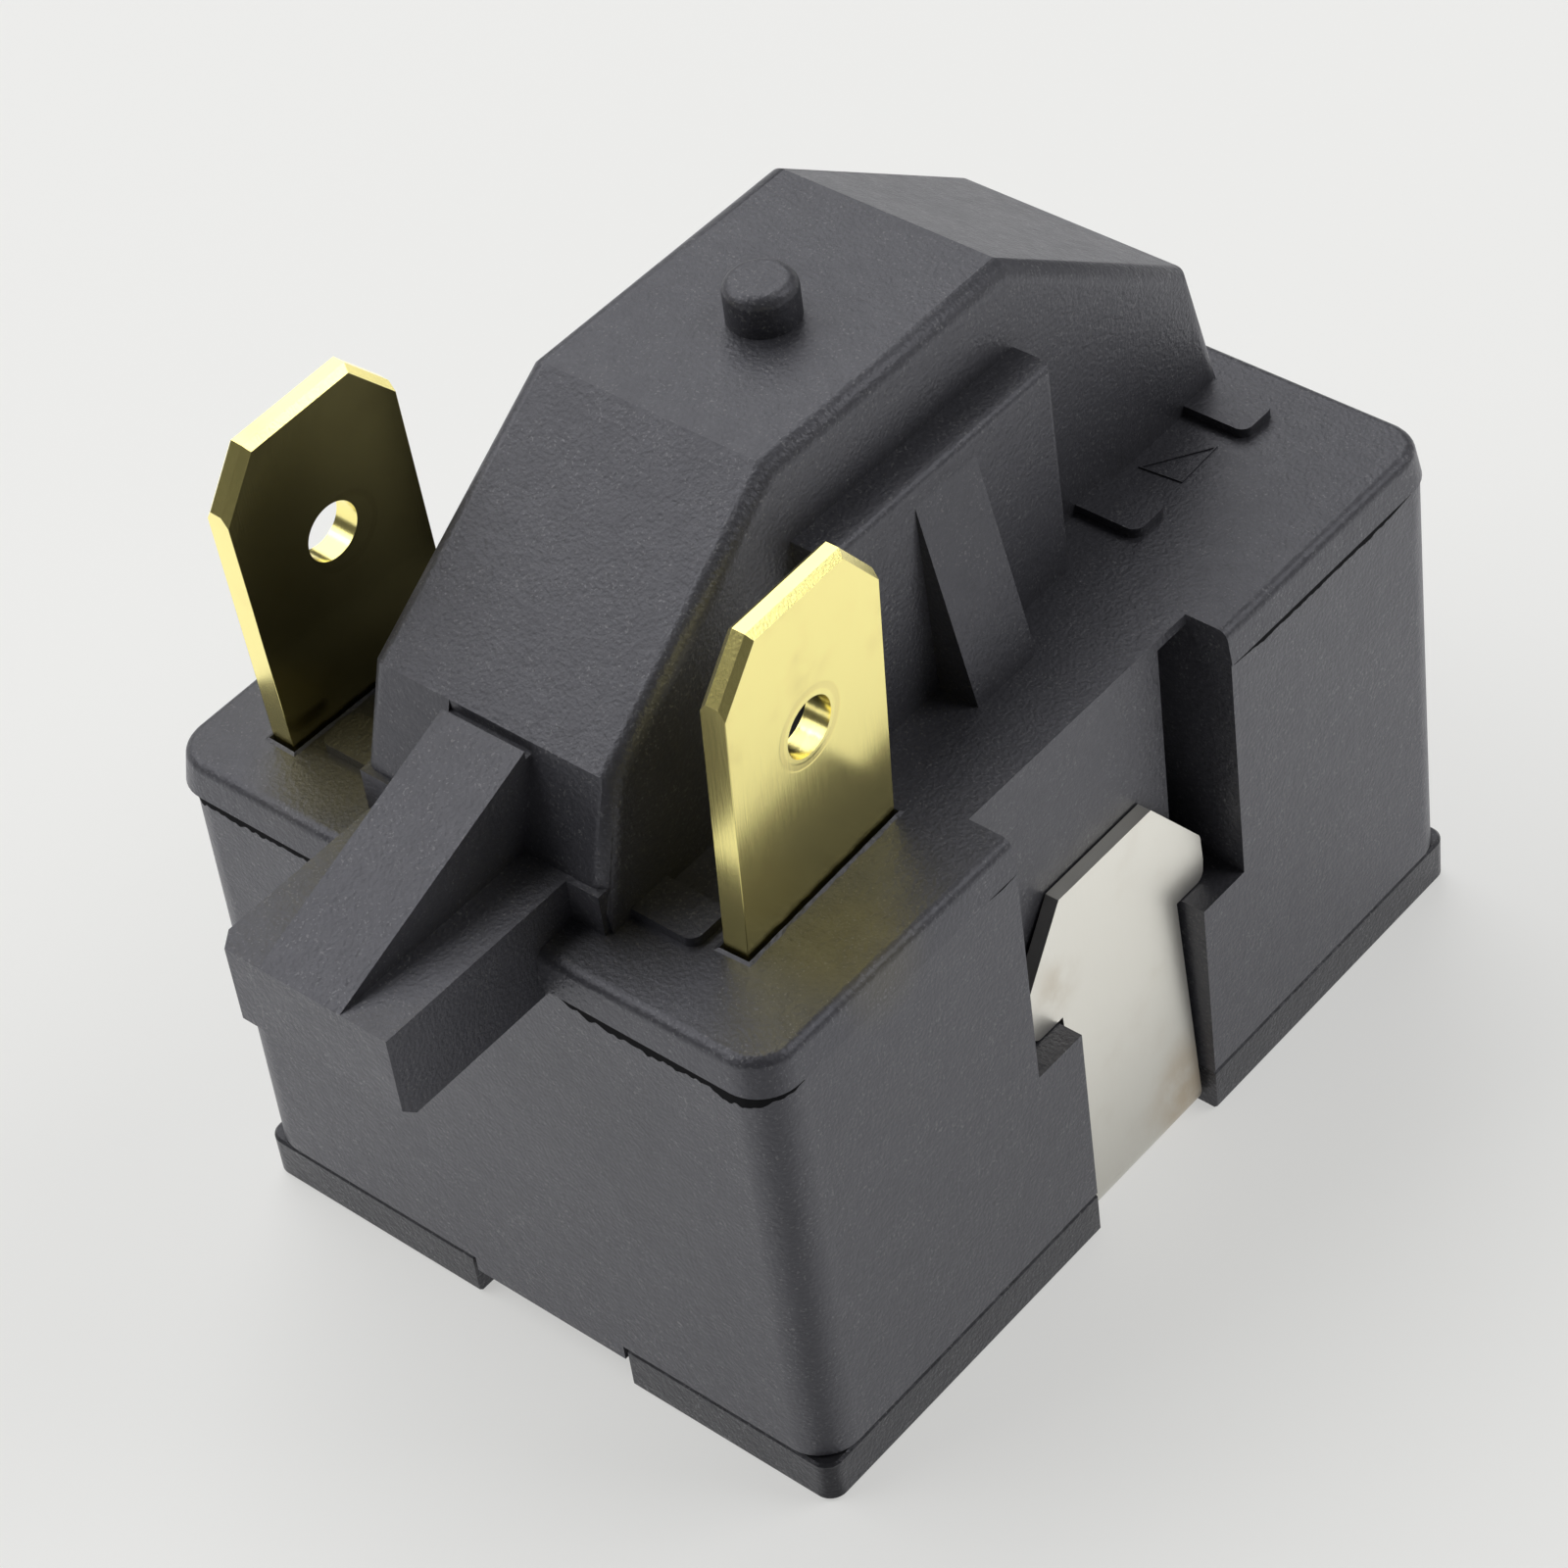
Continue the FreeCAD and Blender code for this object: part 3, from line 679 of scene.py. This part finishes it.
@dataclass
class RaggedSeam:
    """Near-black ragged strip below the parting line of the two mould halves: painted shade of the
    undercut there.

    Attributes:
        name: Name of the piece.
        path: Corners of its run along the wall, in millimetres.
        depth: How far it reaches down.
        seed: Picks its raggedness.
        thickness: How far it stands out of the wall.
        sunk: How far its back lies inside the wall.
        step: Length of one facet.
        taper: Length over which each end runs out.
        rise: How far its top reaches above the parting line.
        pace: Steps of the fine and the coarse noise per facet.
        shares: Least and middle share of the depth, and how much the fine and the coarse noise add.
    """

    name: str
    path: Sequence[Tuple[float, float]]
    depth: float
    seed: float
    thickness: float = 0.04
    sunk: float = 0.03
    step: float = 0.08
    taper: float = 1.6
    rise: float = 0.01
    pace: Tuple[float, float] = (0.40, 0.07)
    shares: Tuple[float, float, float, float] = (0.5, 0.85, 0.24, 0.25)

    def at(self, share: float) -> Tuple[Vector, Vector]:
        """Place and outward direction at a share of the path's length."""
        points = [Vector((x, y, PARTING + self.rise)) for x, y in self.path]
        runs = [b - a for a, b in zip(points, points[1:])]
        left = share * sum(run.length for run in runs)
        for start, run in zip(points, runs):
            if left <= run.length or run is runs[-1]:
                along = run.normalized()
                return start + along * min(left, run.length), Vector((along.y, -along.x, 0))
            left -= run.length
        return points[-1], Vector((0, -1, 0))

    def build(self, material: bpy.types.Material) -> bpy.types.Object:
        """Make the strip of painted shade.

        Args:
            material: Near-black material that paints the shade.

        Returns:
            The strip.
        """
        length = sum(math.dist(a, b) for a, b in zip(self.path, self.path[1:]))
        count = max(2, round(length / self.step))
        least, middle, of_fine, of_coarse = self.shares
        bm = bmesh.new()
        bmesh.ops.create_grid(bm, x_segments=count, y_segments=1, size=0.5)
        for vert in bm.verts:
            share = vert.co.x + 0.5
            base, out = self.at(share)
            fine = noise.noise(Vector((share * count * self.pace[0], self.seed, 0.3)))
            coarse = noise.noise(Vector((share * count * self.pace[1], self.seed + 5.0, 0.7)))
            fade = min(1.0, 0.1 + min(share, 1.0 - share) * length / self.taper)
            ragged = max(least, middle + of_fine * fine + of_coarse * coarse)
            drop = 0.0 if vert.co.y > 0 else self.depth * fade * ragged
            vert.co = (base - Vector((0, 0, drop)) - out * self.sunk) * MM
        raised = bmesh.ops.extrude_face_region(bm, geom=bm.faces[:])
        moved = [item for item in raised["geom"] if isinstance(item, bmesh.types.BMVert)]
        for vert in moved:
            vert.co += self.out_near(vert.co / MM) * (self.thickness + self.sunk) * MM
        bmesh.ops.recalc_face_normals(bm, faces=bm.faces)
        return finish_mesh(bm, self.name, material)

    def out_near(self, place: Vector) -> Vector:
        """Outward direction of the path's part that lies nearest to a place."""
        best, answer = math.inf, Vector((0, -1, 0))
        for a, b in zip(self.path, self.path[1:]):
            start, run = Vector((*a, 0)), Vector((*b, 0)) - Vector((*a, 0))
            flat = Vector((place.x, place.y, 0)) - start
            share = min(1.0, max(0.0, flat.dot(run) / run.length_squared))
            gap = (flat - run * share).length
            if gap < best:
                best, answer = gap, Vector((run.y, -run.x, 0)).normalized()
        return answer


@dataclass
class MouldMark:
    """Plain raised triangle, faint and without any sign inside.

    Attributes:
        corners: Its corners on the top face, in millimetres.
        line: Width of its line.
        height: Height above the top face.
        sunk: Depth of its foot below the top face.
    """

    corners: Tuple[Tuple[float, float], ...] = ((4.62, 9.15), (5.86, 10.95), (5.9, 9.3))
    line: float = 0.10
    height: float = 0.05
    sunk: float = 0.03

    def build(self, material: bpy.types.Material) -> bpy.types.Object:
        """Make the mark.

        Args:
            material: Finish of the housing.

        Returns:
            The mark.
        """
        bm = bmesh.new()
        bmesh.ops.create_circle(bm, segments=3, radius=1.0, cap_ends=True)
        for vert, (x, y) in zip(bm.verts, self.corners):
            vert.co = Vector((x, y, TOP - self.sunk)) * MM
        rim = bmesh.ops.inset_region(bm, faces=bm.faces[:], thickness=self.line * MM, use_boundary=True)
        middle = [face for face in bm.faces if face not in rim["faces"]]
        bmesh.ops.delete(bm, geom=middle, context="FACES")
        raised = bmesh.ops.extrude_face_region(bm, geom=bm.faces[:])
        top = [item for item in raised["geom"] if isinstance(item, bmesh.types.BMVert)]
        bmesh.ops.translate(bm, verts=top, vec=(0, 0, (self.height + self.sunk) * MM))
        bmesh.ops.recalc_face_normals(bm, faces=bm.faces)
        return finish_mesh(bm, "mould_mark", material)


@dataclass
class Studio:
    """Pale floor, soft lights and the camera of the photograph.

    Attributes:
        position: Place of the camera in metres.
        right, up, back: Axes of the camera.
        lens: Focal length in millimetres, on a film of film_width.
        near_clip, far_clip: Depths that the camera sees, in metres.
        lit_point: Point that the lamps face, in metres.
        world_light: Strength of the light from all round.
        floor_tone, floor_glow: Colour and glow of the floor that the camera sees.
        floor_bounce, floor_white: Colour and glow of the floor for every other ray, which
            covers both the relay's reflections and the light on it.
        floor_half: Half the floor's side in metres.
        cloud_size, cloud_depth: Size in millimetres and strength of the floor's clouds.
        floor_rough, floor_shine: Roughness and specular level of the floor.
        shade_from, shade_way: Tip in millimetres and direction of the darker wedge of floor in
            front of the near corner, which every ray but the camera's meets.
        shade_edge: Cosines of the wedge's outer and inner half angle.
        shade_depth: Share of the light that the wedge loses.
    """

    position: Point = (0.069743, -0.070021, 0.104906)
    right: Point = (0.76245, 0.63837, -0.10558)
    up: Point = (-0.38856, 0.5822, 0.71419)
    back: Point = (0.51739, -0.50352, 0.69194)
    lens: float = 108.816
    film_width: float = 36.0
    near_clip: float = 0.001
    far_clip: float = 20.0
    lit_point: Point = (0.0, 0.0, 0.01)
    world_light: float = 0.11
    floor_tone: Colour = (0.40, 0.40, 0.395)
    floor_glow: Colour = (0.47, 0.47, 0.46)
    floor_bounce: Colour = (0.80, 0.80, 0.80)
    floor_white: Colour = (0.50, 0.50, 0.50)
    floor_half: float = 3.0
    cloud_size: float = 40.0
    cloud_depth: float = 0.03
    floor_rough: float = 0.7
    floor_shine: float = 0.2
    shade_from: Point = (10.2, -14.2, 0.0)
    shade_way: Point = (0.7071, -0.7071, 0.0)
    shade_edge: Tuple[float, float] = (0.62, 0.97)
    shade_depth: float = 0.48

    def camera(self) -> None:
        """Place the camera."""
        data = bpy.data.cameras.new("camera")
        data.sensor_width = self.film_width
        data.lens = self.lens
        data.clip_start, data.clip_end = self.near_clip, self.far_clip
        cam = bpy.data.objects.new("camera", data)
        bpy.context.scene.collection.objects.link(cam)
        turn = Matrix((self.right, self.up, self.back)).transposed()
        cam.matrix_world = Matrix.Translation(self.position) @ turn.to_4x4()
        bpy.context.scene.camera = cam

    def floor(self) -> None:
        """Lay the floor."""
        g = Graph("pale_floor")
        at = g.place()
        cloud = g.noise(at, self.cloud_size, 2)
        seen = g.add("ShaderNodeLightPath", {}, "Is Camera Ray")
        # Painted shade: a darker wedge of floor in front of the near corner, met by every ray but the
        # camera's, darkens the relay's near corner in its reflections and bounced light.
        away = g.add("ShaderNodeVectorMath", {0: at, 1: self.shade_from}, operation="SUBTRACT")
        away = g.add("ShaderNodeVectorMath", {0: away}, operation="NORMALIZE")
        ahead = g.add("ShaderNodeVectorMath", {0: away, 1: self.shade_way}, "Value",
                      operation="DOT_PRODUCT")
        shade = ahead.step(*self.shade_edge) * self.shade_depth
        bounce = g.mix(shade, self.floor_bounce, BLACK)
        white = g.mix(shade, self.floor_white, BLACK)
        tone = g.mix(seen, bounce, self.floor_tone)
        tone = g.mix(cloud * self.cloud_depth, tone, BLACK)
        glow = g.mix(seen, white, self.floor_glow)
        material = g.surface(Base_Color=tone, Roughness=self.floor_rough, Emission_Color=glow,
                             Specular_IOR_Level=self.floor_shine, Emission_Strength=1.0)
        bm = bmesh.new()
        bmesh.ops.create_grid(bm, x_segments=8, y_segments=8, size=self.floor_half)
        mesh = bpy.data.meshes.new("floor")
        bm.to_mesh(mesh)
        bm.free()
        mesh.materials.append(material)
        plane = bpy.data.objects.new("floor", mesh)
        bpy.context.scene.collection.objects.link(plane)

    def lamp(self, name: str, at: Point, size: Tuple[float, float], power: float) -> None:
        """Hang one oblong soft light, turned to the relay.

        Args:
            name: Name of the lamp.
            at: Its place in metres.
            size: Its two sides in metres.
            power: Watts.
        """
        data = bpy.data.lights.new(name, "AREA")
        data.shape, data.energy = "RECTANGLE", power
        data.size, data.size_y = size
        lamp = bpy.data.objects.new(name, data)
        bpy.context.scene.collection.objects.link(lamp)
        lamp.location = at
        lamp.rotation_euler = (Vector(self.lit_point) - Vector(at)).to_track_quat("-Z", "Y").to_euler()

    def lights(self) -> None:
        """Set the world and the lamps."""
        world = bpy.data.worlds.new("studio")
        world.use_nodes = True
        background = world.node_tree.nodes["Background"]
        background.inputs["Color"].default_value = (1.0, 1.0, 1.0, 1.0)
        background.inputs["Strength"].default_value = self.world_light
        bpy.context.scene.world = world
        self.lamp("high_left", (-1.2, 0.35, 1.45), (2.8, 1.6), 31.0)
        self.lamp("front_left", (-1.0, -1.05, 1.4), (1.1, 1.1), 8.5)
        self.lamp("back_right", (0.85, 0.85, 1.15), (0.9, 0.9), 9.0)

    def build(self) -> None:
        """Make all of it."""
        self.camera()
        self.floor()
        self.lights()
        bpy.context.scene.view_settings.view_transform = "Standard"


@dataclass
class Relay:
    """The whole start relay: the finish of each material, and the pieces that wear them."""

    plastic: MouldedPlastic = MouldedPlastic("housing_black")
    cover_plastic: MouldedPlastic = MouldedPlastic(
        "cover_black", colour=(0.014, 0.014, 0.016), roughness=0.38, ior=1.47, tab_reflection_spots=())
    brass: SheetMetal = SheetMetal(
        "rolled_brass", (0.85, 0.755, 0.285), (0.55, 0.42, 0.16), 0.21,
        rings=(((-7.7, -9.7, 23.2), 1.02, 1.30), ((8.0, -8.6, 23.2), 1.02, 1.30)))
    steel: SheetMetal = SheetMetal(
        "plated_strap", (0.73, 0.715, 0.65), (0.42, 0.33, 0.22), 0.38, stain_amount=0.10,
        spots=(((10.4, 2.3, 1.4), 2.6, 0.6), ((10.1, -2.6, 9.5), 1.4, 0.35)),
        darker_foot=0.60, foot=(-1.0, 8.0))
    seam_shade: Plain = Plain("seam_shade", (0.008, 0.008, 0.009), 0.0, 0.9, 0.08)
    socket_brass: Plain = Plain("socket_brass", (0.70, 0.52, 0.24), 1.0, 0.35)
    spring_steel: Plain = Plain("spring_steel", (0.55, 0.55, 0.53), 1.0, 0.35)
    ceramic: Plain = Plain("disc_ceramic", (0.30, 0.29, 0.27), 0.0, 0.7)

    def shown(self) -> None:
        """Make the pieces that are seen."""
        plastic = self.plastic.build()
        housing = [Rounding(0.30, hump_fold, 4, 20.0), Rounding(0.09, not_parting)]
        EdgedNode(Shown.HOUSING, "housing_shell", "housing_plastic", housing, 0.003).build(plastic)
        cover = self.cover_plastic.build()
        EdgedNode(Shown.COVER, "cover_shell", "cover_plastic", [Rounding(0.07)]).build(cover)
        EdgedNode(Shown.STRAP, "strap_sheet", "strap_steel", [Rounding(0.08)]).build(self.steel.build())
        brass = self.brass.build()
        for node, name in ((Shown.BLADE_LEFT, "tab_left"), (Shown.BLADE_RIGHT, "tab_right")):
            edges = [Rounding(0.20, tab_long_edge, 4), Rounding(0.12)]
            EdgedNode(node, name, "brass", edges).build(brass)
        SlotLip("slot_lip_left", (-7.73, -12.88), -1.7).build(plastic)
        SlotLip("slot_lip_right", (7.77, -11.89), 2.3).build(plastic)
        # Near-black strips below the parting line are the undercut's painted shade.
        shade = self.seam_shade.build()
        for seam in self.seams():
            seam.build(shade)
        MouldMark().build(plastic)

    @staticmethod
    def seams() -> List[RaggedSeam]:
        """Stretches of the parting line where the undercut's shade is painted as a near-black strip."""
        turn = [math.radians(a) for a in range(0, 91, 15)]
        x, y, r = WALL_X - CORNER, WALL_Y - CORNER, CORNER
        near = [(x + r * math.sin(a), -y - r * math.cos(a)) for a in turn]
        left = [(-x - r * math.cos(a), -y - r * math.sin(a)) for a in turn]
        return [RaggedSeam("seam_front_right", [(3.05, -WALL_Y)] + near, 0.58, 2.0),
                RaggedSeam("seam_front_left", left + [(-3.25, -WALL_Y)], 0.52, 1.0),
                RaggedSeam("seam_left_near", [(-WALL_X, -5.0), (-WALL_X, -13.3)], 0.24, 5.0),
                RaggedSeam("seam_right_near", [(WALL_X, -5.9), (WALL_X, -4.75)], 0.16, 3.0),
                RaggedSeam("seam_right_far", [(WALL_X, 4.95), (WALL_X, 13.4)], 0.20, 4.0),
                RaggedSeam("seam_left_far", [(-WALL_X, 13.4), (-WALL_X, 4.95)], 0.18, 6.0)]

    def hidden(self) -> None:
        """Dress the pieces inside."""
        brass, steel = self.socket_brass.build(), self.spring_steel.build()
        ceramic = self.ceramic.build()
        dress = {Hidden.SOCKET_LEFT: brass, Hidden.SOCKET_RIGHT: brass, Hidden.RIVETS: brass,
                 Hidden.SPRING_LEFT: steel, Hidden.SPRING_RIGHT: steel, Hidden.DISC: ceramic}
        for node, material in dress.items():
            piece = frame["nodes"][node.value]
            for slot in piece.material_slots:
                slot.link = "OBJECT"
                slot.material = material
            LOG.info("%s: dressed", node.value)

    def build(self) -> None:
        """Make the relay."""
        self.shown()
        self.hidden()


def main() -> None:
    """Build the relay and its studio."""
    logging.basicConfig(level=logging.INFO, format="%(name)s %(message)s")
    Studio().build()
    Relay().build()


if __name__ == "__main__":
    main()
